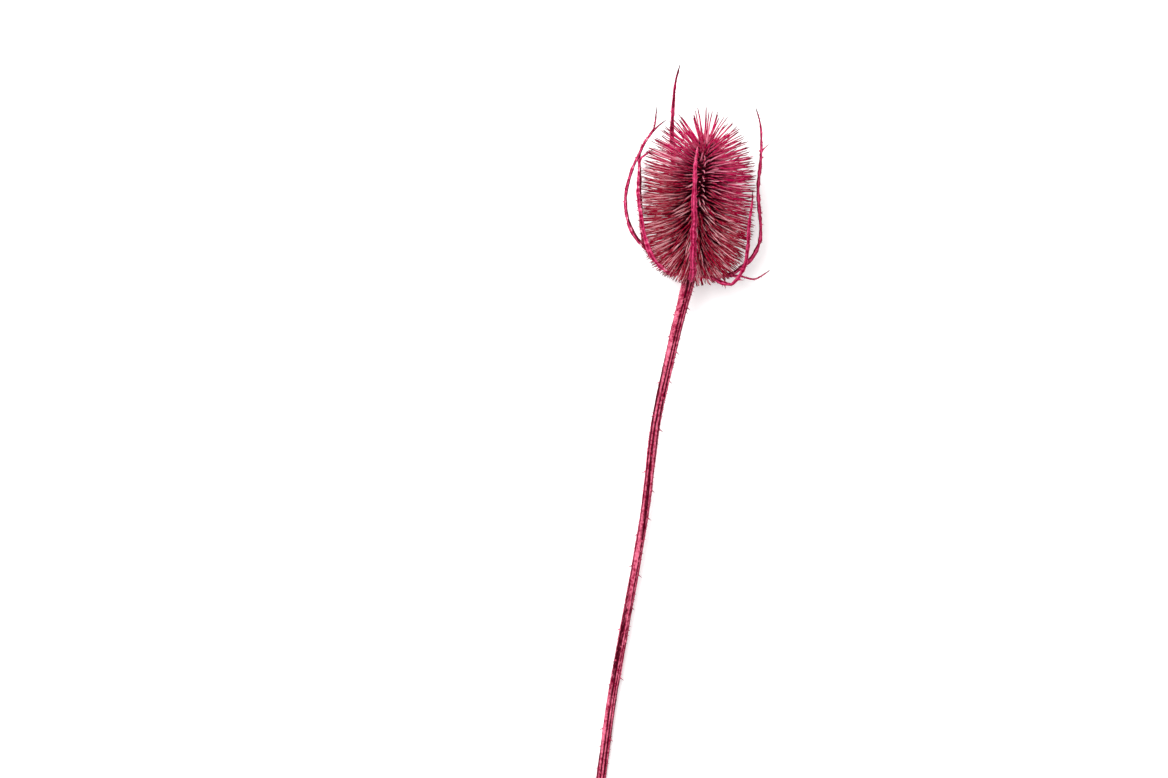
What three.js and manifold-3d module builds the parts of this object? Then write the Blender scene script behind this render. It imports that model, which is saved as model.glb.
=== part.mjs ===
// A dried teasel seed head on its cut stalk, dyed crimson, lying on its side.
// The stalk is ribbed and prickly. The head is a woody core that bristles with stiff straight spines, set in
// spirals. Eight long, narrow, prickly bracts leave the foot of the head, run out under the lowest spines
// and curve up round it. The head lies on the tips of its lowest spines and the stalk on its cut end.
// Millimetres. +X is to the right, +Y runs from the stalk to the head's top, +Z is up from the surface.
import * as THREE from "three";
import { mergeVertices } from "three/addons/utils/BufferGeometryUtils.js";
import Module from "manifold-3d";

// The head: its core, the height of its foot, and how its axis leans right and rises from the surface.
const CORE_LENGTH = 57;
const CORE_RADIUS = 9.35;
const WIDEST_AT = 0.38; // share of the core's length, from its foot
const FOOT_REACH = 0.45; // how far below the widest place the lower half's ellipse would close
const FOOT_HEIGHT = 17.8;
const HEAD_LEAN = 6.2; // degrees
const HEAD_RISE = 18; // degrees

// The spines: how many, their thickness, and how their slope and length change from foot to top.
const SPINES = 1050;
const TOP_THINNING = 0.45; // share of the spines that are missing at the very top
const SPINE_ROOT_RADIUS = 0.5;
const SPINE_ROOT_DEPTH = 1.5;
const GOLDEN_ANGLE = 2.399963;
const SPINE_RULE = [
  { at: 0.0, slope: -48, length: 6.5 },
  { at: 0.05, slope: -42, length: 9 },
  { at: 0.1, slope: -35, length: 12 },
  { at: 0.2, slope: -24, length: 14 },
  { at: 0.35, slope: -10, length: 15.2 },
  { at: 0.5, slope: -1, length: 15 },
  { at: 0.65, slope: 6, length: 15 },
  { at: 0.8, slope: 14, length: 14.8 },
  { at: 0.92, slope: 33, length: 13.4 },
  { at: 0.97, slope: 52, length: 12.6 },
  { at: 1.0, slope: 86, length: 12.2 },
];
const SHORT_SIDE = 0.16; // share by which the lowest spines on the left are shorter
const LONG_SIDE = 0.22; // share by which the spines high up on the left are longer

// The stalk: points along its middle, measured from the foot of the head, and its thickness.
const STALK_TOP_RADIUS = 2.75;
const STALK_RADIUS = 2.0;
const STALK_RIBS = 8;
const RIB_DEPTH = 0.12; // share of the radius
const STALK_PRICKLES = 46;
const STALK_POINTS = [
  [-4.3, -19, -2.9],
  [-9.8, -42.5, -4.4],
  [-14.3, -64, -5.9],
  [-19.3, -104, -8.9],
  [-25.6, -141.5, -11.4],
  [-32.9, -182, -13.8],
  [-38.3, -222, -15.5],
];

// The bracts: where each one's root stands round the foot of the head, in degrees from the right-hand side
// towards the upper side, its greatest width, and points along its middle, measured from the foot. A spur is
// a long prickle on the keel: its share of the way along, its length and how far it leans towards the tip.
const BRACT_ROOT_RADIUS = 3.9;
const BRACT_ROOT_DROP = 1.9;
const BRACT_DEPTH_SHARE = 0.62;
const BRACTS = {
  bract_front: {
    turn: 92,
    width: 2.5,
    points: [
      [-0.1, -4.6, 9.5],
      [0.1, -4.5, 16.5],
      [0.2, -1.5, 23],
      [0.1, 6.9, 29.5],
      [0.1, 16.9, 34],
      [0.2, 27, 36.5],
      [0.3, 36, 36.7],
      [0.7, 41.4, 36],
      [1.8, 49.5, 34.3],
    ],
  },
  bract_right_front: {
    turn: 40,
    width: 2.0,
    spurs: [
      [0.26, 1.8, 0.2],
      [0.36, 2.4, 0.2],
    ],
    points: [
      [8.8, -3.9, 9.5],
      [12.9, -6, 12],
      [16.9, -6.4, 12],
      [20.4, -2.8, 10.5],
      [22.8, 2.9, 10.2],
      [23.6, 9.9, 13.5],
      [23.8, 18.5, 19],
      [24.9, 27.9, 22.5],
      [24.9, 31.9, 23.5],
    ],
  },
  bract_right: {
    turn: 357,
    width: 2.1,
    spurs: [[0.79, 4.8, 0.75]],
    points: [
      [8.6, -3, -2],
      [13.6, -2.6, -3],
      [18.8, -1.1, -2.7],
      [22, 1.4, -2],
      [25.9, 4.9, -1],
      [29.1, 11.5, 1],
      [29.5, 17.5, 2.7],
      [28.5, 27.9, 5],
      [28.3, 35, 6.3],
      [29.1, 44.5, 8],
      [29.4, 53, 10],
      [28.9, 60, 11.5],
      [26.6, 68, 13.5],
    ],
  },
  bract_right_small: {
    turn: 318,
    width: 1.3,
    points: [
      [7.6, -2.9, -5],
      [14.6, -2.7, -7],
      [20.6, -2.3, -7.5],
      [27.6, -3.7, -7.2],
      [31, -2.1, -6.5],
      [34.3, 0.3, -5.5],
    ],
  },
  bract_back: {
    turn: 262,
    width: 2.3,
    points: [
      [-2.4, -3.2, -8.5],
      [-4, 0.2, -12.2],
      [-5, 5.9, -13.8],
      [-5.6, 12.9, -14],
      [-6, 22, -12.3],
      [-6.4, 31, -9.5],
      [-6.9, 40, -6],
      [-7.6, 49, -1.5],
      [-8, 57, 2.5],
      [-7.8, 64, 5.5],
      [-7.4, 71, 7.5],
      [-6.7, 78, 8.8],
      [-4.5, 86.5, 9.7],
    ],
  },
  bract_left_back: {
    turn: 225,
    width: 1.9,
    points: [
      [-7.4, -1.5, -6.5],
      [-13.2, 2.9, -9.8],
      [-17.8, 8.2, -10.5],
      [-20.2, 15.5, -9.5],
      [-21, 25, -7],
      [-21.3, 34, -4],
      [-21.6, 43, -1],
      [-21.6, 48.7, 1],
      [-19.4, 53.6, 3],
      [-15, 59, 5],
      [-9.6, 63.4, 6.4],
    ],
  },
  bract_left: {
    turn: 190,
    width: 2.0,
    points: [
      [-7, -2.2, -2.5],
      [-11.5, 1.2, -6.4],
      [-14.9, 6.2, -7.4],
      [-18.4, 9.2, -6],
      [-21.8, 12.2, -4],
      [-25.4, 18, -1.5],
      [-27.2, 25, 1],
      [-27.1, 33, 3],
      [-24.1, 43.4, 5.5],
      [-21.5, 48.7, 6.5],
      [-19.4, 53, 7.5],
      [-15.7, 59, 8.5],
      [-14.4, 68.5, 9.7],
    ],
  },
  bract_left_front: {
    turn: 146,
    width: 2.0,
    points: [
      [-8.8, -1.7, 8.5],
      [-13, 0.7, 13],
      [-16.4, 4.4, 15],
      [-18.4, 8.7, 15.7],
      [-20.1, 15, 17],
      [-21.3, 21.7, 18],
      [-22.3, 28, 18],
      [-22.3, 38, 17.5],
      [-21.4, 45.2, 19],
      [-19.7, 46.7, 20.8],
      [-15.8, 49, 24.5],
    ],
  },
};

// The middle of the whole plant's outline, seen from above, measured from the foot of the head.
const MIDDLE_X = -3.1;
const MIDDLE_Y = -67.9;

// The gap below the head's core, and the least distance from a spine's middle to a bract's side.
const JOINT_GAP = 0.6;
const SPINE_CLEARANCE = 0.9;

const wasm = await Module();
wasm.setup();

// A draw from 0 to 1 that is the same each time for the same two whole numbers.
function draw(index, kind) {
  const wave = Math.sin(index * 12.9898 + kind * 78.233) * 43758.5453;
  return wave - Math.floor(wave);
}

function spread(index, kind, reach) {
  return (draw(index, kind) * 2 - 1) * reach;
}

function solidOf(geometry) {
  const bare = geometry.clone();
  bare.deleteAttribute("normal");
  bare.deleteAttribute("uv");
  const merged = mergeVertices(bare, 1e-4);
  const mesh = new wasm.Mesh({
    numProp: 3,
    vertProperties: new Float32Array(merged.attributes.position.array),
    triVerts: new Uint32Array(merged.index.array),
  });
  return new wasm.Manifold(mesh);
}

function geometryOf(solid) {
  const mesh = solid.getMesh();
  const geometry = new THREE.BufferGeometry();
  geometry.setAttribute("position", new THREE.BufferAttribute(mesh.vertProperties, 3));
  geometry.setIndex(new THREE.BufferAttribute(mesh.triVerts, 1));
  geometry.computeVertexNormals();
  return geometry;
}

function fuse(solids) {
  return wasm.Manifold.union(solids);
}

// A three-sided spike that stands at root, points along direction and has its wide end sunk below the root.
function spike(root, direction, length, radius, depth) {
  const cone = new THREE.ConeGeometry(radius, length + depth, 3);
  cone.translate(0, (length - depth) / 2, 0);
  const turn = new THREE.Quaternion().setFromUnitVectors(new THREE.Vector3(0, 1, 0), direction);
  cone.applyQuaternion(turn);
  cone.translate(root.x, root.y, root.z);
  return solidOf(cone);
}

// A skin over a row of rings that all have the same number of points, closed by a middle point at each end.
function skinOver(rings, startPoint, endPoint) {
  const sides = rings[0].length;
  const points = rings.flat().concat([startPoint, endPoint]);
  const start = points.length - 2;
  const end = points.length - 1;
  const faces = [];
  for (let k = 0; k < sides; k++) {
    const next = (k + 1) % sides;
    faces.push(start, next, k);
    const last = (rings.length - 1) * sides;
    faces.push(end, last + k, last + next);
    for (let i = 0; i < rings.length - 1; i++) {
      const a = i * sides;
      const b = a + sides;
      faces.push(a + k, a + next, b + next, a + k, b + next, b + k);
    }
  }
  const geometry = new THREE.BufferGeometry().setFromPoints(points);
  geometry.setIndex(faces);
  return geometry;
}

// The head's own directions: along its axis, to its right, and out of its upper side.
const foot = new THREE.Vector3(0, 0, FOOT_HEIGHT);
const lean = THREE.MathUtils.degToRad(HEAD_LEAN);
const rise = THREE.MathUtils.degToRad(HEAD_RISE);
const axis = new THREE.Vector3(
  Math.sin(lean) * Math.cos(rise),
  Math.cos(lean) * Math.cos(rise),
  Math.sin(rise),
);
const right = new THREE.Vector3(Math.cos(lean), -Math.sin(lean), 0);
const upper = new THREE.Vector3().crossVectors(right, axis);
const skyward = new THREE.Vector3(0, 0, 1);

function onHead(alongAxis, radius, turn) {
  return foot
    .clone()
    .addScaledVector(axis, alongAxis)
    .addScaledVector(right, radius * Math.cos(turn))
    .addScaledVector(upper, radius * Math.sin(turn));
}

function outwardAt(point) {
  const fromFoot = point.clone().sub(foot);
  return fromFoot.addScaledVector(axis, -fromFoot.dot(axis)).normalize();
}

// The core is two half ellipses that meet at its widest place. share is 0 at its foot and 1 at its top.
function coreRadius(share) {
  const reach = share < WIDEST_AT ? FOOT_REACH : 1 - WIDEST_AT;
  const off = (share - WIDEST_AT) / reach;
  return CORE_RADIUS * Math.sqrt(Math.max(0, 1 - off * off));
}

function spineRule(share, what) {
  const upper = Math.max(
    1,
    SPINE_RULE.findIndex((row) => row.at >= share),
  );
  const low = SPINE_RULE[upper - 1];
  const high = SPINE_RULE[upper];
  const part = (share - low.at) / (high.at - low.at);
  return low[what] + (high[what] - low[what]) * part;
}

// Shares of the core's length for the spines: the same area of core for each, and more of it near the top.
function evenShares(count) {
  const steps = 600;
  const area = [0];
  for (let i = 1; i <= steps; i++) {
    const a = (i - 1) / steps;
    const b = i / steps;
    const slant = Math.hypot(CORE_LENGTH / steps, coreRadius(b) - coreRadius(a));
    const density = 1 - TOP_THINNING * b * b;
    area.push(area[i - 1] + (density * slant * (coreRadius(a) + coreRadius(b))) / 2);
  }
  const shares = [];
  let step = 1;
  for (let n = 0; n < count; n++) {
    const wanted = (area[steps] * (n + 0.5)) / count;
    while (area[step] < wanted) step++;
    const part = (wanted - area[step - 1]) / (area[step] - area[step - 1]);
    shares.push((step - 1 + part) / steps);
  }
  return shares;
}

function lineThrough(starts, points) {
  const placed = points.map((point) => foot.clone().add(new THREE.Vector3(...point)));
  return new THREE.CatmullRomCurve3([...starts, ...placed], false, "centripetal");
}

function bractLine({ turn, points }) {
  const root = onHead(-BRACT_ROOT_DROP, BRACT_ROOT_RADIUS, THREE.MathUtils.degToRad(turn));
  return lineThrough([root], points);
}

// A bract swells a little past its root and narrows to a fine tip. share is 0 at the root and 1 at the tip.
function bractFullness(share) {
  return (0.78 + 0.22 * Math.min(1, share * 5)) * (1.08 - 0.84 * share ** 4);
}

const BRACT_STATIONS = 70;
const bractStations = Object.values(BRACTS).flatMap((bract) =>
  bractLine(bract)
    .getSpacedPoints(BRACT_STATIONS)
    .map((middle, i) => ({ middle, half: (bract.width / 2) * bractFullness(i / BRACT_STATIONS) })),
);

function distanceToBracts(root, tip) {
  const stretch = new THREE.Line3(root, tip);
  const near = new THREE.Vector3();
  let least = Infinity;
  for (const { middle, half } of bractStations) {
    stretch.closestPointToPoint(middle, true, near);
    least = Math.min(least, near.distanceTo(middle) - half);
  }
  return least;
}

// A spine that would cross a bract leans aside by the least turn that clears it, or else stays shorter. Where
// a bract leaves no room at all, no spine grows.
function clearDirection(root, direction, length) {
  const clear = (way, reach) =>
    distanceToBracts(root, root.clone().addScaledVector(way, reach)) > SPINE_CLEARANCE;
  if (clear(direction, length)) return { direction, length };
  const outward = outwardAt(root);
  const sideways = new THREE.Vector3().crossVectors(outward, axis);
  for (const lean of [0.12, 0.24, 0.36]) {
    for (const [aside, up] of [
      [1, 0],
      [-1, 0],
      [0, 1],
      [0, -1],
      [0.7, 0.7],
      [-0.7, 0.7],
      [0.7, -0.7],
      [-0.7, -0.7],
    ]) {
      const leaned = direction.clone();
      leaned.addScaledVector(sideways, aside * lean).addScaledVector(axis, up * lean);
      leaned.normalize();
      if (clear(leaned, length)) return { direction: leaned, length };
    }
  }
  let reach = length;
  while (reach > 1 && !clear(direction, reach)) reach -= 0.5;
  return reach > 1 ? { direction, length: reach } : null;
}

function makeHead() {
  const profile = [new THREE.Vector2(0, -JOINT_GAP)];
  profile.push(new THREE.Vector2(coreRadius(0) * 0.9, -JOINT_GAP));
  const rings = 9;
  for (let i = 0; i < rings; i++) {
    const share = i / rings;
    profile.push(new THREE.Vector2(coreRadius(share), share * CORE_LENGTH));
  }
  profile.push(new THREE.Vector2(0, CORE_LENGTH));
  const core = new THREE.LatheGeometry(profile, 14);
  const basis = new THREE.Matrix4().makeBasis(right, axis, upper);
  core.applyMatrix4(basis).translate(foot.x, foot.y, foot.z);
  const solids = [solidOf(core)];
  evenShares(SPINES).forEach((share, n) => {
    const turn = n * GOLDEN_ANGLE;
    const root = onHead(share * CORE_LENGTH, coreRadius(share), turn);
    const slope = THREE.MathUtils.degToRad(spineRule(share, "slope") + spread(n, 1, 4));
    const swing = turn + spread(n, 2, 0.07);
    const direction = axis.clone().multiplyScalar(Math.sin(slope));
    direction.addScaledVector(right, Math.cos(slope) * Math.cos(swing));
    direction.addScaledVector(upper, Math.cos(slope) * Math.sin(swing));
    const low = SHORT_SIDE * Math.max(0, 1 - share / 0.35);
    const high = LONG_SIDE * Math.max(0, 1 - Math.abs(share - 0.75) / 0.4);
    const uneven = 1 + Math.max(0, -Math.cos(turn)) * (high - low);
    const wanted = spineRule(share, "length") * (1 + spread(n, 3, 0.06)) * uneven;
    const clear = clearDirection(root, direction.normalize(), wanted);
    if (!clear) return;
    const tip = root.clone().addScaledVector(clear.direction, clear.length);
    tip.z = Math.max(tip.z, 0);
    const way = tip.sub(root);
    const length = way.length();
    solids.push(spike(root, way.normalize(), length, SPINE_ROOT_RADIUS, SPINE_ROOT_DEPTH));
  });
  return fuse(solids);
}

function stalkRadius(share) {
  const flare = Math.exp(-share * 12);
  return STALK_RADIUS + (STALK_TOP_RADIUS - STALK_RADIUS) * flare + 0.12 * Math.sin(share * 9);
}

function makeStalk() {
  const line = lineThrough([onHead(-1.2, 0, 0), onHead(-3, 0, 0)], STALK_POINTS);
  const steps = 34;
  const sides = STALK_RIBS * 2;
  const frameAt = (share) => {
    const middle = line.getPointAt(share);
    const along = line.getTangentAt(share);
    const side = new THREE.Vector3().crossVectors(along, skyward).normalize();
    const over = new THREE.Vector3().crossVectors(side, along);
    return { middle, along, side, over };
  };
  const rings = [];
  for (let i = 0; i <= steps; i++) {
    const share = i / steps;
    const { middle, side, over } = frameAt(share);
    const ring = [];
    for (let k = 0; k < sides; k++) {
      const turn = (k / sides) * Math.PI * 2 + share * 0.9;
      const radius = stalkRadius(share) * (k % 2 ? 1 - RIB_DEPTH : 1 + RIB_DEPTH / 2);
      const point = middle.clone().addScaledVector(side, Math.cos(turn) * radius);
      ring.push(point.addScaledVector(over, Math.sin(turn) * radius));
    }
    rings.push(ring.reverse());
  }
  const skin = skinOver(rings, line.getPointAt(0), line.getPointAt(1));
  const solids = [solidOf(skin)];
  for (let n = 0; n < STALK_PRICKLES; n++) {
    const share = 0.02 + 0.95 * ((n + draw(n, 4)) / STALK_PRICKLES) ** 1.25;
    const { middle, along, side, over } = frameAt(share);
    const turn = n * GOLDEN_ANGLE;
    const out = side.clone().multiplyScalar(Math.cos(turn)).addScaledVector(over, Math.sin(turn));
    const root = middle.clone().addScaledVector(out, stalkRadius(share) * 0.96);
    const way = out.clone().addScaledVector(along, 0.3).normalize();
    const length = 1.5 + draw(n, 5) * 0.7;
    if (root.z + way.z * length > 0.2) solids.push(spike(root, way, length, 0.45, 0.5));
  }
  return fuse(solids);
}

// A shallow channel with a keel on the outer side, as shares of half the width and of the depth.
const BRACT_SECTION = [
  [-1, -0.42],
  [-0.6, 0.32],
  [0, 0.6],
  [0.6, 0.32],
  [1, -0.42],
  [0, -0.16],
];

function makeBract(name, index) {
  const { width } = BRACTS[name];
  const line = bractLine(BRACTS[name]);
  const steps = Math.round(line.getLength() / 4.2);
  const depth = width * BRACT_DEPTH_SHARE;
  const frameAt = (share) => {
    const middle = line.getPointAt(share);
    const along = line.getTangentAt(share);
    const across = new THREE.Vector3().crossVectors(axis, outwardAt(middle));
    across.addScaledVector(along, -across.dot(along)).normalize();
    const outer = new THREE.Vector3().crossVectors(across, along);
    return { middle, along, across, outer };
  };
  const rings = [];
  for (let i = 0; i < steps; i++) {
    const share = i / steps;
    const { middle, across, outer } = frameAt(share);
    const full = bractFullness(share);
    const ring = BRACT_SECTION.map(([side, out]) => {
      const point = middle.clone().addScaledVector(across, side * full * (width / 2));
      return point.addScaledVector(outer, out * full * depth);
    });
    rings.push(ring);
  }
  const skin = skinOver(rings, line.getPointAt(0), line.getPointAt(1));
  const solids = [solidOf(skin)];
  const prickles = Math.round(line.getLength() / 11);
  for (let n = 0; n < prickles; n++) {
    const share = 0.12 + (0.72 * (n + draw(n, 10 + index))) / prickles;
    const { middle, along, across, outer } = frameAt(share);
    const side = [-1, 0, 1][n % 3];
    const full = bractFullness(share);
    const root = middle.clone().addScaledVector(across, side * full * (width / 2) * 0.8);
    root.addScaledVector(outer, (side ? -0.1 : 0.5) * full * depth);
    const way = across.clone().multiplyScalar(side).addScaledVector(outer, side ? 0.35 : 1);
    way.addScaledVector(along, 0.25).normalize();
    if (root.z + way.z * 2 > 0.3) solids.push(spike(root, way, 1.3, 0.32, 0.35));
  }
  for (const [share, length, leanToTip] of BRACTS[name].spurs ?? []) {
    const { middle, along, outer } = frameAt(share);
    const root = middle.clone().addScaledVector(outer, 0.4 * bractFullness(share) * depth);
    const way = outer.clone().addScaledVector(along, leanToTip).normalize();
    solids.push(spike(root, way, length, 0.4, 0.35));
  }
  return fuse(solids);
}

// Finishes: dyed spines, dyed stalk and the brighter dyed bracts.
const spineFinish = new THREE.MeshStandardMaterial({ color: 0x9c2246, roughness: 0.62, metalness: 0 });
const stalkFinish = new THREE.MeshStandardMaterial({ color: 0x96234a, roughness: 0.6, metalness: 0 });
const bractFinish = new THREE.MeshStandardMaterial({ color: 0xb12a59, roughness: 0.58, metalness: 0 });

const teasel = new THREE.Group();
teasel.name = "teasel_seed_head";
teasel.position.set(-MIDDLE_X, -MIDDLE_Y, 0);

function addPiece(name, solid, finish) {
  const piece = new THREE.Mesh(geometryOf(solid), finish);
  piece.name = name;
  teasel.add(piece);
}

addPiece("seed_head", makeHead(), spineFinish);
addPiece("stalk", makeStalk(), stalkFinish);
Object.keys(BRACTS).forEach((name, index) => addPiece(name, makeBract(name, index), bractFinish));

export default teasel;
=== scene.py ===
import math

import bpy
import numpy as np
from mathutils import Euler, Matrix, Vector


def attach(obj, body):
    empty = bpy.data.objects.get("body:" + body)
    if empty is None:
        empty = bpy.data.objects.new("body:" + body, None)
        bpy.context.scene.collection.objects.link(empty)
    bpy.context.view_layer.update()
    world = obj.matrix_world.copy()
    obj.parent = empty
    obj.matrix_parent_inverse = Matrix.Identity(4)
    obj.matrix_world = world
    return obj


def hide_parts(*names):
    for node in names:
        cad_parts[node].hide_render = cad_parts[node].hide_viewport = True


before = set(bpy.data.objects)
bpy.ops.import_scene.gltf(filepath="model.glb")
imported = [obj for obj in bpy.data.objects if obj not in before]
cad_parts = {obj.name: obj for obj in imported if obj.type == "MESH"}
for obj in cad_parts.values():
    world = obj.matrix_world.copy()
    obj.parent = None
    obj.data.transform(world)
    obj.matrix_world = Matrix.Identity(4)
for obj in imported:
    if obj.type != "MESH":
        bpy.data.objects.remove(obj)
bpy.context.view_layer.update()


# The foot of the head. The whole plant is laid out from the place where stalk, bracts and head
# meet. The head leans a little to the right and rises from the surface, because the dry stalk
# bends where it carries the head.
MM = 0.001
FOOT = np.array([3.1, 67.9, 17.8])  # in millimetres, as every length up to the surface is
HEAD_LEAN = math.radians(6.2)
HEAD_RISE = math.radians(18)
HEAD_AXIS = np.array(
    [
        math.sin(HEAD_LEAN) * math.cos(HEAD_RISE),
        math.cos(HEAD_LEAN) * math.cos(HEAD_RISE),
        math.sin(HEAD_RISE),
    ]
)
HEAD_RIGHT = np.array([math.cos(HEAD_LEAN), -math.sin(HEAD_LEAN), 0.0])
HEAD_UPPER = np.cross(HEAD_RIGHT, HEAD_AXIS)
GOLDEN_ANGLE = 2.399963


def on_head(along, radius, turn):
    return (
        FOOT
        + HEAD_AXIS * along
        + HEAD_RIGHT * (radius * math.cos(turn))
        + HEAD_UPPER * (radius * math.sin(turn))
    )


def unit(vector):
    return vector / np.linalg.norm(vector)


def outward_from_axis(point):
    from_foot = point - FOOT
    return unit(from_foot - HEAD_AXIS * from_foot.dot(HEAD_AXIS))


def draw(index, kind):
    wave = math.sin(index * 12.9898 + kind * 78.233) * 43758.5453
    return wave - math.floor(wave)


def spread(index, kind, reach):
    return (draw(index, kind) * 2 - 1) * reach


def wander(position, kind):
    """A smooth random value from -1 to 1, with a new one at each whole position."""
    low = math.floor(position)
    part = position - low
    part = part * part * (3 - 2 * part)
    return spread(low, kind, 1) * (1 - part) + spread(low + 1, kind, 1) * part


def line_through(points, steps_per_span=24):
    """An even, dense row of points on a smooth line through the given ones."""
    points = [np.asarray(p, float) for p in points]
    points = [2 * points[0] - points[1]] + points + [2 * points[-1] - points[-2]]
    row = []
    for p0, p1, p2, p3 in zip(points, points[1:], points[2:], points[3:]):
        d0, d1, d2 = (math.sqrt(np.linalg.norm(b - a)) for a, b in ((p0, p1), (p1, p2), (p2, p3)))
        m1 = ((p1 - p0) / d0 - (p2 - p0) / (d0 + d1) + (p2 - p1) / d1) * d1
        m2 = ((p2 - p1) / d1 - (p3 - p1) / (d1 + d2) + (p3 - p2) / d2) * d1
        for step in range(steps_per_span):
            t = step / steps_per_span
            row.append(
                p1
                + m1 * t
                + (3 * (p2 - p1) - 2 * m1 - m2) * t**2
                + (2 * (p1 - p2) + m1 + m2) * t**3
            )
    row.append(points[-2])
    return np.array(row)


class Middle:
    """A middle line that can be read by its share of length, from 0 to 1."""

    def __init__(self, points):
        self.row = line_through(points)
        lengths = np.linalg.norm(np.diff(self.row, axis=0), axis=1)
        self.length = float(lengths.sum())
        self.shares = np.concatenate([[0], np.cumsum(lengths)]) / self.length

    def at(self, share):
        return np.array([np.interp(share, self.shares, self.row[:, k]) for k in range(3)])

    def along(self, share):
        return unit(self.at(min(1, share + 0.004)) - self.at(max(0, share - 0.004)))


class Flesh:
    """Points and faces of one piece, with the marks that its colour is worked out from."""

    def __init__(self):
        self.points = []
        self.faces = []
        self.marks = {"along": [], "tint": [], "ridge_shading_and_fleck": []}

    def add_points(self, points, along, tint, ridge_shading_and_fleck):
        start = len(self.points)
        self.points.extend(points)
        for name, values in (("along", along), ("tint", tint), ("ridge_shading_and_fleck", ridge_shading_and_fleck)):
            values = [values] * len(points) if np.isscalar(values) else list(values)
            self.marks[name].extend(values)
        return start

    def skin(self, rings, along, tint, ridge_shading_and_fleck_rows):
        """A closed skin over rings with equal numbers of points. along has one value a ring."""
        sides = len(rings[0])
        starts = [
            self.add_points(ring, share, tint, ridge_shading_and_fleck) for ring, share, ridge_shading_and_fleck in zip(rings, along, ridge_shading_and_fleck_rows)
        ]
        for a, b in zip(starts, starts[1:]):
            for k in range(sides):
                n = (k + 1) % sides
                self.faces.append((a + k, a + n, b + n, b + k))
        self.faces.append(tuple(starts[0] + k for k in reversed(range(sides))))
        self.faces.append(tuple(starts[-1] + k for k in range(sides)))

    def make(self, name, material):
        mesh = bpy.data.meshes.new(name)
        mesh.from_pydata([tuple(p * MM) for p in self.points], [], self.faces)
        for mark, values in self.marks.items():
            attribute = mesh.attributes.new(mark, "FLOAT", "POINT")
            attribute.data.foreach_set("value", np.array(values, np.float32))
        mesh.validate()
        mesh.shade_smooth()
        piece = bpy.data.objects.new(name, mesh)
        bpy.context.scene.collection.objects.link(piece)
        mesh.materials.append(material)
        return piece


# Dye. The whole dry plant was dipped in crimson dye, which takes unevenly and is thin and dusty
# pink on dry tips. The finishes also paint light and shade into the colour: painted shade, near
# black, deep between the spines and in furrows, and painted highlights, pale, on edges and ridges.
# Every finish is built on the dye.
def new_group(name, inputs, outputs):
    group = bpy.data.node_groups.new(name, "ShaderNodeTree")
    for label, kind, value in inputs:
        socket = group.interface.new_socket(label, in_out="INPUT", socket_type=kind)
        socket.default_value = value
    for label, kind in outputs:
        group.interface.new_socket(label, in_out="OUTPUT", socket_type=kind)
    return group


class Wiring:
    """Adds nodes to a tree and joins them, so that a finish reads from top to bottom."""

    def __init__(self, tree):
        self.tree = tree

    def node(self, kind, settings=None, **inputs):
        node = self.tree.nodes.new(kind)
        for name, value in (settings or {}).items():
            setattr(node, name, value)
        for name, value in inputs.items():
            self.feed(node.inputs[name.replace("_", " ")], value)
        return node

    def feed(self, socket, value):
        if isinstance(value, bpy.types.NodeSocket):
            self.tree.links.new(value, socket)
        else:
            socket.default_value = value

    def math(self, operation, a, b=0.0, clamp=False):
        node = self.tree.nodes.new("ShaderNodeMath")
        node.operation = operation
        node.use_clamp = clamp
        self.feed(node.inputs[0], a)
        self.feed(node.inputs[1], b)
        return node.outputs[0]

    def blend(self, share, a, b):
        node = self.tree.nodes.new("ShaderNodeMix")
        node.data_type = "RGBA"
        self.feed(node.inputs[0], share)
        self.feed(node.inputs[6], a)
        self.feed(node.inputs[7], b)
        return node.outputs[2]

    def ease(self, value, low, high, to_low=0.0, to_high=1.0):
        node = self.tree.nodes.new("ShaderNodeMapRange")
        node.interpolation_type = "SMOOTHSTEP"
        for socket, number in zip(range(5), (value, low, high, to_low, to_high)):
            self.feed(node.inputs[socket], number)
        return node.outputs[0]

    def noise(self, vector, scale, detail=3.0, roughness=0.55):
        node = self.tree.nodes.new("ShaderNodeTexNoise")
        self.feed(node.inputs["Vector"], vector)
        self.feed(node.inputs["Scale"], scale)
        self.feed(node.inputs["Detail"], detail)
        self.feed(node.inputs["Roughness"], roughness)
        return node.outputs["Fac"]

    def mark(self, name):
        node = self.tree.nodes.new("ShaderNodeAttribute")
        node.attribute_name = name
        return node.outputs["Fac"]

    def place(self):
        return self.tree.nodes.new("ShaderNodeTexCoord").outputs["Object"]


def rgb(red, green, blue):
    """A colour as the eye reads it, from 0 to 255, in the linear values that a shader takes."""

    def linear(value):
        value /= 255
        return value / 12.92 if value <= 0.04045 else ((value + 0.055) / 1.055) ** 2.4

    return (linear(red), linear(green), linear(blue), 1.0)


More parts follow.
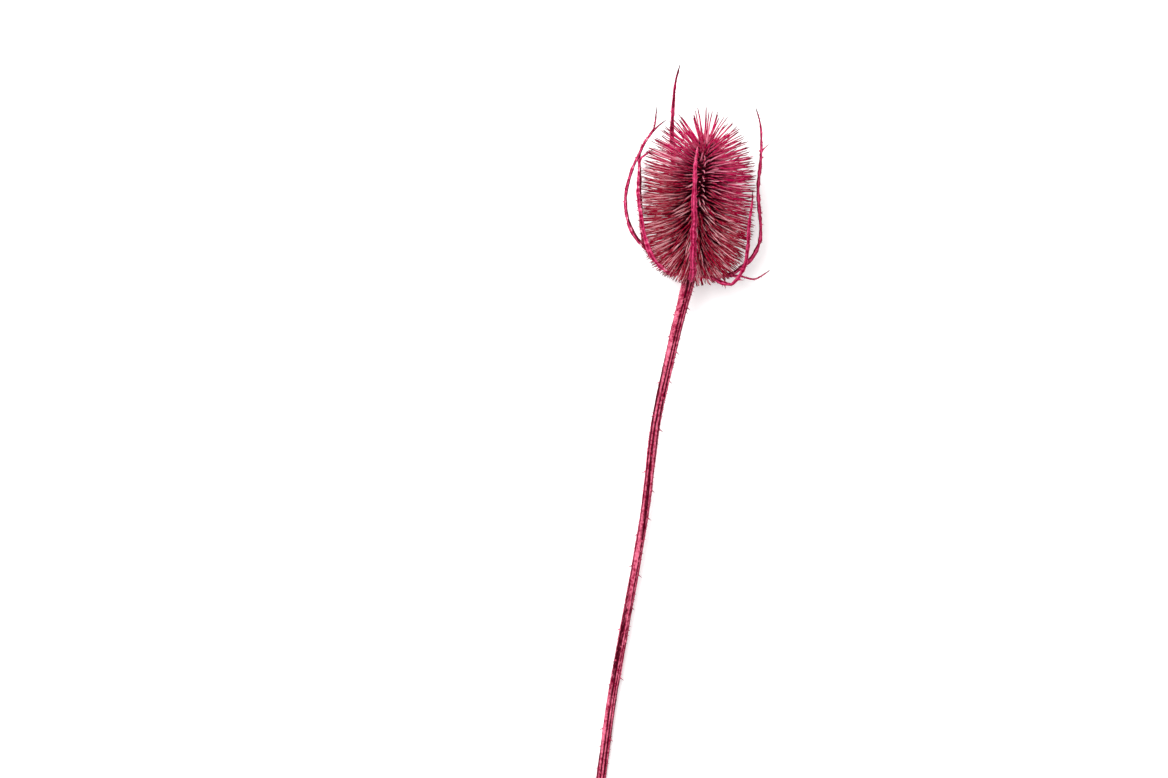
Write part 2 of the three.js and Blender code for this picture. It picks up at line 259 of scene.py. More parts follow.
def make_uneven_dye():
    """Takes a dry and a soaked colour and says where each lies, cloud by cloud and fibre by fibre."""
    group = new_group(
        "uneven dye",
        [
            ("Soaked", "NodeSocketColor", rgb(110, 20, 50)),
            ("Dry", "NodeSocketColor", rgb(200, 110, 130)),
            ("Dryness", "NodeSocketFloat", 0.5),
            ("Cloud size", "NodeSocketFloat", 300.0),
            ("Fibre size", "NodeSocketFloat", 1500.0),
            ("Fibre strength", "NodeSocketFloat", 0.4),
        ],
        [("Color", "NodeSocketColor"), ("Height", "NodeSocketFloat"), ("Roughness", "NodeSocketFloat")],
    )
    w = Wiring(group)
    given = w.node("NodeGroupInput").outputs
    place = w.place()
    clouds = w.noise(place, given["Cloud size"], 4.0)
    fibres = w.noise(place, given["Fibre size"], 2.0, 0.7)
    patch = w.ease(clouds, 0.3, 0.7, -0.22, 0.22)
    fleck = w.math("MULTIPLY", w.math("SUBTRACT", fibres, 0.5), given["Fibre strength"])
    share = w.math("ADD", w.math("ADD", given["Dryness"], patch), fleck, clamp=True)
    color = w.blend(share, given["Soaked"], given["Dry"])
    roughness = w.math("MULTIPLY_ADD", share, 0.2)
    roughness.node.inputs[2].default_value = 0.5
    w.node("NodeGroupOutput", Color=color, Height=fibres, Roughness=roughness)
    return group


UNEVEN_DYE = make_uneven_dye()


def new_finish(name):
    material = bpy.data.materials.new(name)
    material.use_nodes = True
    tree = material.node_tree
    tree.nodes.clear()
    w = Wiring(tree)
    shader = w.node("ShaderNodeBsdfPrincipled")
    out = w.node("ShaderNodeOutputMaterial")
    tree.links.new(shader.outputs[0], out.inputs[0])
    return material, w, shader


def dyed(w, soaked, dry, dryness_and_highlight, cloud_size, fibre_size, fibre_strength):
    dye = w.node("ShaderNodeGroup", {"node_tree": UNEVEN_DYE}).inputs
    node = dye[0].node
    values = (soaked, dry, dryness_and_highlight, cloud_size, fibre_size, fibre_strength)
    for socket, value in zip(dye, values):
        w.feed(socket, value)
    return node.outputs


def raise_fibres(w, shader, height, distance, strength=0.5):
    bump = w.node("ShaderNodeBump", Height=height, Distance=distance, Strength=strength)
    w.feed(shader.inputs["Normal"], bump.outputs["Normal"])


# Bract middles. Eight long narrow bracts leave the foot of the head, run out under its lowest
# spines and curve up round it. Their lines are laid first, since the spines grow clear of them.
BRACT_ROOT_RADIUS = 3.9
BRACT_ROOT_DROP = 1.9
BRACTS = {
    "bract_front": (92, 2.5, [
        (-0.1, -4.6, 9.5), (0.1, -4.5, 16.5), (0.2, -1.5, 23), (0.1, 6.9, 29.5), (0.1, 16.9, 34),
        (0.2, 27, 36.5), (0.3, 36, 36.7), (0.7, 41.4, 36), (1.8, 49.5, 34.3),
    ]),
    "bract_right_front": (40, 2.0, [
        (8.8, -3.9, 9.5), (12.9, -6, 12), (16.9, -6.4, 12), (20.4, -2.8, 10.5), (22.8, 2.9, 10.2),
        (23.6, 9.9, 13.5), (23.8, 18.5, 19), (24.9, 27.9, 22.5), (24.9, 31.9, 23.5),
    ]),
    "bract_right": (357, 2.1, [
        (8.6, -3, -2), (13.6, -2.6, -3), (18.8, -1.1, -2.7), (22, 1.4, -2), (25.9, 4.9, -1),
        (29.1, 11.5, 1), (29.5, 17.5, 2.7), (28.5, 27.9, 5), (28.3, 35, 6.3), (29.1, 44.5, 8),
        (29.4, 53, 10), (28.9, 60, 11.5), (26.6, 68, 13.5),
    ]),
    "bract_right_small": (318, 1.3, [
        (7.6, -2.9, -5), (14.6, -2.7, -7), (20.6, -2.3, -7.5), (27.6, -3.7, -7.2),
        (31, -2.1, -6.5), (34.3, 0.3, -5.5),
    ]),
    "bract_back": (262, 2.3, [
        (-2.4, -3.2, -8.5), (-4, 0.2, -12.2), (-5, 5.9, -13.8), (-5.6, 12.9, -14),
        (-6, 22, -12.3), (-6.4, 31, -9.5), (-6.9, 40, -6), (-7.6, 49, -1.5), (-8, 57, 2.5),
        (-7.8, 64, 5.5), (-7.4, 71, 7.5), (-6.7, 78, 8.8), (-4.5, 86.5, 9.7),
    ]),
    "bract_left_back": (225, 1.9, [
        (-7.4, -1.5, -6.5), (-13.2, 2.9, -9.8), (-17.8, 8.2, -10.5), (-20.2, 15.5, -9.5),
        (-21, 25, -7), (-21.3, 34, -4), (-21.6, 43, -1), (-21.6, 48.7, 1), (-19.4, 53.6, 3),
        (-15, 59, 5), (-9.6, 63.4, 6.4),
    ]),
    "bract_left": (190, 2.0, [
        (-7, -2.2, -2.5), (-11.5, 1.2, -6.4), (-14.9, 6.2, -7.4), (-18.4, 9.2, -6),
        (-21.8, 12.2, -4), (-25.4, 18, -1.5), (-27.2, 25, 1), (-27.1, 33, 3), (-24.1, 43.4, 5.5),
        (-21.5, 48.7, 6.5), (-19.4, 53, 7.5), (-15.7, 59, 8.5), (-14.4, 68.5, 9.7),
    ]),
    "bract_left_front": (146, 2.0, [
        (-8.8, -1.7, 8.5), (-13, 0.7, 13), (-16.4, 4.4, 15), (-18.4, 8.7, 15.7), (-20.1, 15, 17),
        (-21.3, 21.7, 18), (-22.3, 28, 18), (-22.3, 38, 17.5), (-21.4, 45.2, 19),
        (-19.7, 46.7, 20.8), (-15.8, 49, 24.5),
    ]),
}


def bract_fullness(share):
    return (0.78 + 0.22 * min(1, share * 5)) * (1.08 - 0.84 * share**4)


def bract_middle(turn, points):
    root = on_head(-BRACT_ROOT_DROP, BRACT_ROOT_RADIUS, math.radians(turn))
    return Middle([root] + [FOOT + np.array(p) for p in points])


BRACT_MIDDLES = {name: bract_middle(turn, points) for name, (turn, _, points) in BRACTS.items()}


# The core. A woody egg of pith under the spines. Its skin is packed with the small square cups
# that the seeds sat in, in the same spirals as the spines. It shows only as dark hollows: its
# colour is painted near black, as the shade in the hollows between the spines.
CORE_LENGTH = 57
CORE_RADIUS = 9.35
WIDEST_AT = 0.38
FOOT_REACH = 0.45
CORE_RINGS = 110
CORE_SIDES = 120
CUP_DEPTH = 0.45
SPINES = 1750
TOP_THINNING = 0.45


def core_radius(share):
    reach = FOOT_REACH if share < WIDEST_AT else 1 - WIDEST_AT
    off = (share - WIDEST_AT) / reach
    return CORE_RADIUS * math.sqrt(max(0, 1 - off * off))


def even_shares(count, steps=600):
    """Shares of the core's length for the spines, a little further apart at the top."""
    area = [0.0]
    for i in range(1, steps + 1):
        a, b = core_radius((i - 1) / steps), core_radius(i / steps)
        density = 1 - TOP_THINNING * (i / steps) ** 2
        area.append(area[-1] + density * math.hypot(CORE_LENGTH / steps, b - a) * (a + b) / 2)
    wanted = area[-1] * (np.arange(count) + 0.5) / count
    return np.interp(wanted, area, np.arange(steps + 1) / steps)


SPINE_SHARES = even_shares(SPINES)


def make_core_finish():
    material, w, shader = new_finish("dyed pith in painted shade")
    # Near black: painted shade for the depth between the spines, over the pith's own dye.
    dye = dyed(w, rgb(26, 0, 6), rgb(74, 14, 30), 0.35, 500.0, 2500.0, 0.6)
    w.feed(shader.inputs["Base Color"], dye["Color"])
    w.feed(shader.inputs["Roughness"], dye["Roughness"])
    raise_fibres(w, shader, dye["Height"], 0.0003)
    shader.inputs["Specular IOR Level"].default_value = 0.02
    return material


def make_core():
    flesh = Flesh()
    roots = np.array(
        [(s * CORE_LENGTH, n * GOLDEN_ANGLE) for n, s in enumerate(SPINE_SHARES)]
    )
    rings, along = [], []
    for i in range(CORE_RINGS + 1):
        share = i / CORE_RINGS * 0.998
        radius = core_radius(share)
        ring = []
        for k in range(CORE_SIDES):
            turn = k / CORE_SIDES * 2 * math.pi
            around = (roots[:, 1] - turn + math.pi) % (2 * math.pi) - math.pi
            away = np.hypot(roots[:, 0] - share * CORE_LENGTH, around * max(radius, 1)).min()
            ring.append(on_head(share * CORE_LENGTH, radius - CUP_DEPTH * min(1, away / 1.2) ** 2, turn))
        rings.append(ring[::-1])
        along.append(share)
    flesh.skin(rings, along, 0.5, [0.0] * len(rings))
    core = flesh.make("core", make_core_finish())
    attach(core, "root")
    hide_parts("seed_head")


make_core()


# The spines. Each is a stiff scale that stood beside one floret: a keeled boat at its root, which
# narrows to a long straight point. They slope down at the foot of the head and up at its top.
SPINE_RULE = [
    # share of the core, slope in degrees, length
    (0.0, -48, 6.5),
    (0.05, -42, 9),
    (0.1, -35, 12),
    (0.2, -24, 14),
    (0.35, -10, 15.2),
    (0.5, -1, 15),
    (0.65, 6, 15),
    (0.8, 14, 14.8),
    (0.92, 33, 13.4),
    (0.97, 52, 12.6),
    (1.0, 86, 12.2),
]
SHORT_SIDE = 0.16
LONG_SIDE = 0.22
SPINE_CLEARANCE = 0.9
SPINE_SIDES = 6
# share of the spine's length, half its width, half its thickness
SPINE_BODY = [
    (-0.07, 0.66, 0.28),
    (0.02, 0.7, 0.3),
    (0.1, 0.58, 0.3),
    (0.2, 0.36, 0.26),
    (0.35, 0.255, 0.23),
    (0.6, 0.23, 0.21),
    (0.83, 0.2, 0.19),
    (0.95, 0.15, 0.14),
    (1.0, 0.05, 0.05),
]
SPINE_BOW = 0.35
SPINE_SLOPE_SCATTER = 5.5  # degrees
SPINE_SWING_SCATTER = 0.12
SPINE_LENGTH_SCATTER = 0.06
SHORTEST_SPINE = 1
# The boat at a spine's root: its share of the length, how its edges curl up, how deep it lies.
BOAT_REACH = 0.3
BOAT_CURL = 0.55
BOAT_WIDTH = 1.05
BOAT_DROP = 0.25
# A bleached spine has lost most of its dye. It is met more often low on the head and at the left.
# A spine that points straight up or lies on the upper side is painted pale more often too, as a
# painted highlight where the light falls on it.
BLEACHED_CHANCE = 0.17
BLEACHED_OR_LIT_TINT = 1.0

# The dye is a fresh magenta towards the crown and the right, and has faded at the foot and the left.
FRESH_WAY = (0.6, 1.0, 0.0)
FRESH_BETWEEN = (0.093, 0.118)


def bract_stations(count=70):
    """Points along every bract's middle, with half the bract's width there."""
    rows, halves = [], []
    for name, (_, width, _) in BRACTS.items():
        for share in np.linspace(0, 1, count + 1):
            rows.append(BRACT_MIDDLES[name].at(share))
            halves.append(width / 2 * bract_fullness(share))
    return np.array(rows), np.array(halves)


def distance_to_bracts(root, tip, stations):
    middles, halves = stations
    way = tip - root
    share = np.clip((middles - root) @ way / way.dot(way), 0, 1)
    return (np.linalg.norm(root + share[:, None] * way - middles, axis=1) - halves).min()


def clear_spine(root, way, length, stations):
    """Leans a spine aside by the least turn that clears the bracts, or else keeps it shorter."""

    def clear(direction, reach):
        return distance_to_bracts(root, root + direction * reach, stations) > SPINE_CLEARANCE

    if clear(way, length):
        return way, length
    sideways = np.cross(outward_from_axis(root), HEAD_AXIS)
    d = 0.7
    for lean in (0.12, 0.24, 0.36):
        for aside, up in ((1, 0), (-1, 0), (0, 1), (0, -1), (d, d), (-d, d), (d, -d), (-d, -d)):
            leaned = unit(way + sideways * (aside * lean) + HEAD_AXIS * (up * lean))
            if clear(leaned, length):
                return leaned, length
    reach = length
    while reach > SHORTEST_SPINE and not clear(way, reach):
        reach -= 0.5
    return way, reach


def spine_places():
    """Root and tip of every spine, with its share of the core's length."""
    at, slopes, lengths = zip(*SPINE_RULE)
    stations = bract_stations()
    places = []
    for n, share in enumerate(SPINE_SHARES):
        turn = n * GOLDEN_ANGLE
        root = on_head(share * CORE_LENGTH, core_radius(share), turn)
        slope = math.radians(np.interp(share, at, slopes) + spread(n, 1, SPINE_SLOPE_SCATTER))
        swing = turn + spread(n, 2, SPINE_SWING_SCATTER)
        outward = HEAD_RIGHT * math.cos(swing) + HEAD_UPPER * math.sin(swing)
        way = HEAD_AXIS * math.sin(slope) + outward * math.cos(slope)
        low = SHORT_SIDE * max(0, 1 - share / 0.35)
        high = LONG_SIDE * max(0, 1 - abs(share - 0.75) / 0.4)
        uneven = 1 + max(0, -math.cos(turn)) * (high - low)
        length = np.interp(share, at, lengths) * (1 + spread(n, 3, SPINE_LENGTH_SCATTER)) * uneven
        way, length = clear_spine(root, way, length, stations)
        tip = root + way * length
        tip[2] = max(tip[2], 0)
        if length > SHORTEST_SPINE:
            places.append((root, tip, share))
    return places


def make_spine_finish():
    material, w, shader = new_finish("dyed spines")
    along = w.mark("along")
    tint = w.mark("tint")
    ridge_shading_and_fleck = w.mark("ridge_shading_and_fleck")
    towards_crown = w.node("ShaderNodeVectorMath", {"operation": "DOT_PRODUCT"})
    w.feed(towards_crown.inputs[0], w.place())
    w.feed(towards_crown.inputs[1], FRESH_WAY)
    fresh = w.ease(towards_crown.outputs["Value"], *FRESH_BETWEEN)
    soaked = w.blend(fresh, rgb(174, 2, 52), rgb(190, 0, 82))
    faded = w.blend(fresh, rgb(255, 200, 206), rgb(255, 166, 192))
    at_tip = w.ease(along, 0.7, 1.0)
    # Towards the root both colours darken, the soaked one to near black: painted shade deep among the
    # crowded spines.
    soaked_with_root_shade = w.blend(w.ease(along, 0.05, 0.48), rgb(34, 0, 6), w.blend(at_tip, soaked, rgb(92, 0, 26)))
    paler = w.math("ADD", w.math("MULTIPLY", tint, 0.8), w.ease(along, 0.4, 1.0, 0.05, -0.15))
    dry = w.blend(w.ease(along, 0.08, 0.4), rgb(168, 22, 72), w.blend(at_tip, faded, rgb(206, 110, 128)))
    # The edge mark paints each spine's edges paler, a painted highlight.
    dryness_and_highlight = w.math("ADD", paler, w.math("MULTIPLY", ridge_shading_and_fleck, 0.2))
    dye = dyed(w, soaked_with_root_shade, dry, dryness_and_highlight, 350.0, 2200.0, 0.5)
    shader.inputs["Specular IOR Level"].default_value = 0.02
    w.feed(shader.inputs["Base Color"], dye["Color"])
    w.feed(shader.inputs["Roughness"], dye["Roughness"])
    raise_fibres(w, shader, dye["Height"], 0.0002, 0.35)
    return material


def add_spine(flesh, index, root, tip, thickness, tint, root_shade_lift, end_on_tip_highlight):
    way = tip - root
    length = np.linalg.norm(way)
    way = way / length
    across = unit(np.cross(HEAD_AXIS if abs(way.dot(HEAD_AXIS)) < 0.96 else HEAD_UPPER, way))
    over = np.cross(way, across)
    bend = spread(index, 6, SPINE_BOW), spread(index, 7, SPINE_BOW)
    rings, along, ridge_shading_and_fleck_rows = [], [], []
    for share, width, depth in SPINE_BODY:
        bow = math.sin(math.pi * max(0, share))
        middle = root + way * (length * share) + (across * bend[0] + over * bend[1]) * bow
        boat = max(0, 1 - max(0, share) / BOAT_REACH)
        ring, ridge_shading_and_fleck = [], []
        for k in range(SPINE_SIDES):
            turn = k / SPINE_SIDES * 2 * math.pi
            x = math.cos(turn) * width * thickness
            y = math.sin(turn) * depth * thickness
            y += boat * BOAT_CURL * (x / BOAT_WIDTH) ** 2 - boat * BOAT_DROP
            ring.append(middle + across * x + over * y)
            # Painted highlight: the spine's edges, most of all round its boat, are marked to be painted
            # paler.
            ridge_shading_and_fleck.append(abs(math.cos(turn)) ** 3 * (0.3 + 0.7 * boat))
        rings.append(ring)
        # The crown's spines are lifted out of the painted root shade, and spines that point straight up
        # get paler tips, a painted highlight.
        along.append((1 - (1 - max(0, share)) * (1 - root_shade_lift)) * (1 - end_on_tip_highlight))
        ridge_shading_and_fleck_rows.append(ridge_shading_and_fleck)
    flesh.skin(rings, along, tint, ridge_shading_and_fleck_rows)


def make_spines():
    flesh = Flesh()
    for index, (root, tip, share) in enumerate(spine_places()):
        thickness = 0.78 + 0.22 * draw(index, 9) + 0.3 * max(0, share - 0.6) / 0.4
        left = max(0, -outward_from_axis(root).dot(HEAD_RIGHT))
        upper = max(0, outward_from_axis(root).dot(HEAD_UPPER))
        crown = max(0, share - 0.7) / 0.3
        end_on = max(0, unit(tip - root)[2] - 0.9) / 0.1
        low = max(0, 0.4 - share)
        # Spines on the upper side and spines that point straight up are painted pale more often: painted
        # highlight where the light falls.
        chance = BLEACHED_CHANCE + 0.05 * left + 0.1 * upper**3 + 0.2 * low - 0.2 * crown + 0.25 * end_on
        bleached_or_lit = draw(index, 8) < chance
        tint = (BLEACHED_OR_LIT_TINT if bleached_or_lit else 0.04 * crown) + 0.15 * draw(index, 10)
        add_spine(flesh, index, root, tip, thickness, tint, 0.35 * crown, 0.24 * end_on)
    spines = flesh.make("spines", make_spine_finish())
    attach(spines, "root")
    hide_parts("seed_head")


make_spines()


# The stalk. One ribbed stem, hollow and dry, that widens under the head. Short hooked prickles
# stand on its ribs, closest together near the head. It was cut straight across at its lower end.
STALK_TOP_RADIUS = 2.75
STALK_RADIUS = 2.0
STALK_RIBS = 8
RIB_DEPTH = 0.12
STALK_PRICKLES = 46
STALK_BRISTLES = 260
STALK_RINGS = 420
STALK_SIDES = 64
STALK_TWIST = 0.9
STALK_FLARE = 12  # how fast it narrows below the head
ABOVE_SURFACE = 0.2
PRICKLE_SIDES = 7
# share of a prickle's length, share of its radius
PRICKLE_BODY = ((-0.25, 1.5), (0.0, 1.2), (0.14, 0.72), (0.35, 0.45), (0.7, 0.24), (1.0, 0.03))
STALK_POINTS = [
    (-4.3, -19, -2.9),
    (-9.8, -42.5, -4.4),
    (-14.3, -64, -5.9),
    (-19.3, -104, -8.9),
    (-25.6, -141.5, -11.4),
    (-32.9, -182, -13.8),
    (-38.3, -222, -15.5),
]
STALK = Middle([on_head(-1.2, 0, 0), on_head(-3, 0, 0)] + [FOOT + np.array(p) for p in STALK_POINTS])


def stalk_radius(share):
    return (
        STALK_RADIUS
        + (STALK_TOP_RADIUS - STALK_RADIUS) * math.exp(-share * STALK_FLARE)
        + 0.12 * math.sin(share * 9)
    )


def stalk_frame(share):
    middle = STALK.at(share)
    along = STALK.along(share)
    side = unit(np.cross(along, [0, 0, 1]))
    return middle, along, side, np.cross(side, along)


def make_stem_finish(name, soaked, dry, furrow_shade, fleck_strength):
    material, w, shader = new_finish(name)
    ridge_shading_and_fleck = w.mark("ridge_shading_and_fleck")
    tint = w.mark("tint")
    dryness_and_highlight = w.math("ADD", w.math("MULTIPLY", ridge_shading_and_fleck, 0.4), w.math("MULTIPLY", tint, 0.2))
    dye = dyed(w, soaked, dry, dryness_and_highlight, 260.0, 900.0, fleck_strength)
    # Painted shade darkens the furrows, and the highest ridges get a pale pink painted highlight.
    color = w.blend(w.ease(ridge_shading_and_fleck, 0.0, 0.5, 1.0, 0.0), dye["Color"], furrow_shade)
    color = w.blend(w.ease(ridge_shading_and_fleck, 1.2, 1.9), color, rgb(255, 196, 210))
    color = w.blend(w.ease(w.mark("along"), 0.9, 0.99), color, rgb(74, 6, 30))
    w.feed(shader.inputs["Base Color"], color)
    w.feed(shader.inputs["Roughness"], dye["Roughness"])
    raise_fibres(w, shader, dye["Height"], 0.0004)
    shader.inputs["Specular IOR Level"].default_value = 0.02
    return material


def add_prickle(flesh, root, way, lean, length, radius, tint):
    """A thorn with a broad foot, hooked a little towards lean."""
    side = unit(np.cross(way, lean))
    over = np.cross(side, way)
    rings, along = [], []
    for share, width in PRICKLE_BODY:
        middle = root + way * (length * share) + lean * (0.22 * length * max(0, share) ** 2)
        rings.append(
            [
                middle
                + side * (math.cos(k / PRICKLE_SIDES * 2 * math.pi) * radius * width)
                + over * (math.sin(k / PRICKLE_SIDES * 2 * math.pi) * radius * width * 1.25)
                for k in range(PRICKLE_SIDES)
            ]
        )
        along.append(0.89 + 0.1 * max(0, share))
    flesh.skin(rings, along, tint, [0.5] * len(rings))


def make_stalk():
    flesh = Flesh()
    rings, ridge_shading_and_fleck_rows = [], []
    for i in range(STALK_RINGS + 1):
        share = i / STALK_RINGS
        middle, along, side, over = stalk_frame(share)
        ring, ridge_shading_and_fleck = [], []
        for k in range(STALK_SIDES):
            turn = k / STALK_SIDES * 2 * math.pi
            uneven = 0.3 * math.sin(turn * 2 + 1) + 0.25 * math.sin(turn * 3 + share * 9)
            ribs_round = (turn - share * STALK_TWIST) / (2 * math.pi) * STALK_RIBS + uneven
            ridge = 0.5 + 0.5 * math.cos(ribs_round * 2 * math.pi)
            strength = 0.8 + 0.4 * wander(share * 26, 70 + round(ribs_round) % STALK_RIBS)
            fine = wander(k / 1.7 + 5 * wander(share * 30, 80), 81) * wander(share * 150, 82 + k % 5)
            rise = RIB_DEPTH * (1.5 * ridge * strength - 1.0) + 0.07 * fine
            radius = stalk_radius(share) * (1 + rise)
            ring.append(middle + side * (math.cos(turn) * radius) + over * (math.sin(turn) * radius))
            # The mark is high on the ridges, for painted highlight, and low in the furrows, for painted
            # shade, with fine random flecks.
            ridge_shading_and_fleck.append(ridge**1.5 * strength + 0.4 * fine)
        rings.append(ring[::-1])
        ridge_shading_and_fleck_rows.append(ridge_shading_and_fleck[::-1])
    flesh.skin(rings, [0.0] * len(rings), 0.75, ridge_shading_and_fleck_rows)
    for n in range(STALK_PRICKLES):
        share = 0.02 + 0.95 * ((n + draw(n, 4)) / STALK_PRICKLES) ** 1.25
        middle, along, side, over = stalk_frame(share)
        turn = n * GOLDEN_ANGLE
        out = side * math.cos(turn) + over * math.sin(turn)
        root = middle + out * (stalk_radius(share) * 0.96)
        way = unit(out + along * 0.3)
        length = 1.5 + draw(n, 5) * 0.7
        if root[2] + way[2] * length > ABOVE_SURFACE:
            add_prickle(flesh, root, way, along, length, 0.36, draw(n, 11))
    for n in range(STALK_BRISTLES):
        share = 0.01 + 0.97 * ((n + draw(n, 14)) / STALK_BRISTLES) ** 1.7
        middle, along, side, over = stalk_frame(share)
        rib = int(draw(n, 15) * STALK_RIBS) + spread(n, 16, 0.15)
        turn = rib / STALK_RIBS * 2 * math.pi + share * STALK_TWIST
        out = side * math.cos(turn) + over * math.sin(turn)
        root = middle + out * (stalk_radius(share) * 0.97)
        way = unit(out + along * spread(n, 17, 0.6))
        length = 0.45 + 0.5 * draw(n, 18) + 1.2 * draw(n, 20) ** 2 * math.exp(-share * 6)
        if root[2] + way[2] * length > ABOVE_SURFACE:
            add_prickle(flesh, root, way, along, length, 0.2, draw(n, 19))
    finish = make_stem_finish("dyed stalk", rgb(138, 6, 50), rgb(240, 124, 152), rgb(62, 0, 16), 2.2)
    stalk = flesh.make("stalk_skin", finish)
    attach(stalk, "root")
    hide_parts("stalk")


make_stalk()


# The bracts. Stiff dry leaves, narrow as a cord, with a keel along the outer side, a channel
# along the inner one, rolled edges and small prickles on keel and edges.
BRACT_DEPTH_SHARE = 0.62
TEETH_EVERY = 1.3
# How far the dye has faded on a whole bract, and how pale its flecks are.
FADED = {"bract_back": 0.7, "bract_left_front": 0.3}
FLECKED = {"bract_left": 1.6, "bract_left_front": 1.8, "bract_left_back": 1.6, "bract_back": 1.0}
# A spur is a long prickle on the keel: its share of the way along, its length, its lean to the tip.
SPURS = {
    "bract_right_front": [(0.26, 1.8, 0.2), (0.36, 2.4, 0.2)],
    "bract_right": [(0.79, 4.8, 0.75)],
}
# share of half the width, share of the depth, how near an edge or the keel
# The third value marks edges and keel for painted highlight, and the channel and flanks for painted
# shade.
BRACT_SECTION = [
    (-1.0, -0.42, 1.0), (-0.97, -0.18, 0.9), (-0.8, 0.12, 0.35), (-0.55, 0.34, 0.15),
    (-0.25, 0.46, 0.3), (-0.1, 0.6, 0.9), (0.1, 0.6, 0.9), (0.25, 0.46, 0.3), (0.55, 0.34, 0.15),
    (0.8, 0.12, 0.35), (0.97, -0.18, 0.9), (1.0, -0.42, 1.0), (0.6, -0.28, 0.3), (0.25, -0.17, 0.1),
    (0.0, -0.15, 0.0), (-0.25, -0.17, 0.1), (-0.6, -0.28, 0.3),
]


def bract_frame(middle_line, share):
    middle = middle_line.at(share)
    along = middle_line.along(share)
    across = np.cross(HEAD_AXIS, outward_from_axis(middle))
    across = unit(across - along * across.dot(along))
    return middle, along, across, np.cross(across, along)


def make_bract(name, index, width, finish):
    line = BRACT_MIDDLES[name]
    depth = width * BRACT_DEPTH_SHARE
    steps = int(line.length / 0.55)
    flesh = Flesh()
    rings, shares, ridge_shading_and_fleck_rows = [], [], []
    for i in range(steps + 1):
        share = min(i / steps, 0.997)
        middle, along, across, outer = bract_frame(line, share)
        full = bract_fullness(share) * (1 - 0.8 * max(0, share - 0.97) / 0.03)
        middle = middle + across * (0.16 * wander(i / 9, 20 + index)) * full
        swells = [1 + 0.28 * wander(i / 2.9, kind + index) for kind in (30, 40, 50)]
        ring, ridge_shading_and_fleck = [], []
        fleck = FLECKED.get(name, 0.3) * max(0, wander(i / 2.1, 90 + index) - 0.25)
        # Near its tip the front bract is painted paler, with a stronger painted highlight on its left
        # edge.
        front_tip_highlight = max(0, share - 0.75) / 0.25 if name == "bract_front" else 0
        for side, out, edge in BRACT_SECTION:
            swell = swells[0] if side < 0 else swells[1]
            x = side * full * swell * width / 2
            ring.append(middle + across * x + outer * (out * full * swells[2] * depth))
            ridge_shading_and_fleck.append(edge + fleck + front_tip_highlight * (1.3 if side < -0.5 else 0.5))
        rings.append(ring)
        ridge_shading_and_fleck_rows.append(ridge_shading_and_fleck)
        shares.append(share * (0.88 if name == "bract_front" else 1))
    flesh.skin(rings, shares, 0.5 + spread(index, 12, 0.3) + FADED.get(name, 0), ridge_shading_and_fleck_rows)
    prickles = round(line.length / 11)
    for n in range(prickles):
        share = 0.12 + (0.72 * (n + draw(n, 10 + index))) / prickles
        middle, along, across, outer = bract_frame(line, share)
        side = (-1, 0, 1)[n % 3]
        full = bract_fullness(share)
        root = middle + across * (side * full * (width / 2) * 0.8)
        root = root + outer * ((-0.1 if side else 0.5) * full * depth)
        way = unit(across * side + outer * (0.35 if side else 1) + along * 0.25)
        if root[2] + way[2] * 2 > 0.3:
            add_prickle(flesh, root, way, along, 1.3, 0.26, draw(n, 13))
    for n in range(int(line.length / TEETH_EVERY)):
        share = 0.15 + 0.82 * (n + draw(n, 60 + index)) * TEETH_EVERY / line.length
        middle, along, across, outer = bract_frame(line, share)
        side = (-1, 1, 0)[int(draw(n, 61 + index) * 2.7)]
        full = bract_fullness(share)
        root = middle + across * (side * full * (width / 2) * 0.9)
        root = root + outer * ((-0.2 if side else 0.5) * full * depth)
        way = unit(across * side + outer * (0.2 if side else 1) + along * spread(n, 62, 0.5))
        add_prickle(flesh, root, way, along, 0.4 + 0.5 * draw(n, 63), 0.19, draw(n, 64))
    for share, length, lean in SPURS.get(name, []):
        middle, along, across, outer = bract_frame(line, share)
        root = middle + outer * (0.4 * bract_fullness(share) * depth)
        add_prickle(flesh, root, unit(outer + along * lean), along, length, 0.42, 0.3)
    bract = flesh.make(name + "_leaf", finish)
    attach(bract, "root")
    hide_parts(name)


BRACT_FINISH = make_stem_finish("dyed bract", rgb(152, 0, 56), rgb(228, 84, 132), rgb(84, 0, 24), 2.2)
for bract_index, (bract_name, (_, bract_width, _)) in enumerate(BRACTS.items()):
    make_bract(bract_name, bract_index, bract_width, BRACT_FINISH)


# The surface. A plain white sheet under even studio light. The sheet glows a little, painted light
# that lifts its shadows to white. A soft key light stands at the upper left.
FLOOR_SIZE = 6.0
SHEET_PAINTED_GLOW = 0.22
KEY_PLACE = (-0.5, 0.48, 1.58)
KEY_SIZE = 1.1
KEY_POWER = 27
SKY_STRENGTH = 0.75


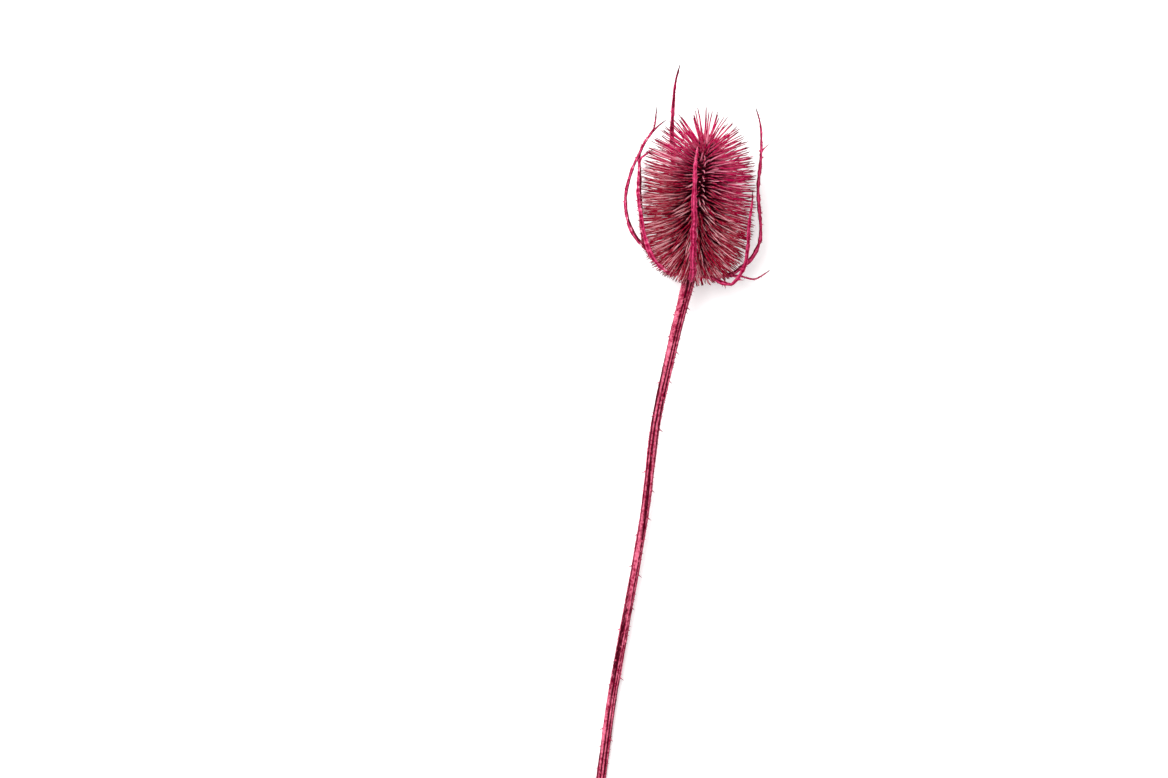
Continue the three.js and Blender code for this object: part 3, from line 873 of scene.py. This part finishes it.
def make_floor():
    mesh = bpy.data.meshes.new("floor")
    half = FLOOR_SIZE / 2
    corners = [(-half, -half, 0), (half, -half, 0), (half, half, 0), (-half, half, 0)]
    mesh.from_pydata(corners, [], [(0, 1, 2, 3)])
    material, w, shader = new_finish("white sheet")
    grain = w.noise(w.place(), 40.0)
    w.feed(shader.inputs["Base Color"], w.blend(grain, (0.93, 0.93, 0.93, 1), (0.95, 0.95, 0.95, 1)))
    shader.inputs["Roughness"].default_value = 0.9
    # Painted light: the sheet glows, though it is no lamp.
    shader.inputs["Emission Color"].default_value = (1, 1, 1, 1)
    shader.inputs["Emission Strength"].default_value = SHEET_PAINTED_GLOW
    mesh.materials.append(material)
    floor = bpy.data.objects.new("floor", mesh)
    bpy.context.scene.collection.objects.link(floor)


def light_scene():
    light = bpy.data.lights.new("key", "AREA")
    light.shape = "DISK"
    light.size = KEY_SIZE
    light.energy = KEY_POWER
    lamp = bpy.data.objects.new("key", light)
    lamp.location = KEY_PLACE
    lamp.rotation_euler = (-Vector(KEY_PLACE)).to_track_quat("-Z", "Y").to_euler()
    bpy.context.scene.collection.objects.link(lamp)
    world = bpy.data.worlds.new("studio")
    world.use_nodes = True
    world.node_tree.nodes["Background"].inputs[0].default_value = (1, 1, 1, 1)
    world.node_tree.nodes["Background"].inputs[1].default_value = SKY_STRENGTH
    bpy.context.scene.world = world
    bpy.context.scene.view_settings.view_transform = "Standard"


# The camera. It looks straight down at the plant, which shows it as the photograph does from the
# front. Its place is in metres.
CAMERA_OVER = (-0.04184, 0.0175)
CAMERA_HEIGHT = 1.183
LENS = 85
SENSOR = 36


def place_camera():
    camera = bpy.data.cameras.new("camera")
    camera.lens = LENS
    camera.sensor_width = SENSOR
    camera.clip_start = 0.01
    stand = bpy.data.objects.new("camera", camera)
    stand.location = (*CAMERA_OVER, CAMERA_HEIGHT)
    stand.rotation_euler = Euler((0, 0, 0))
    bpy.context.scene.collection.objects.link(stand)
    bpy.context.scene.camera = stand


make_floor()
light_scene()
place_camera()
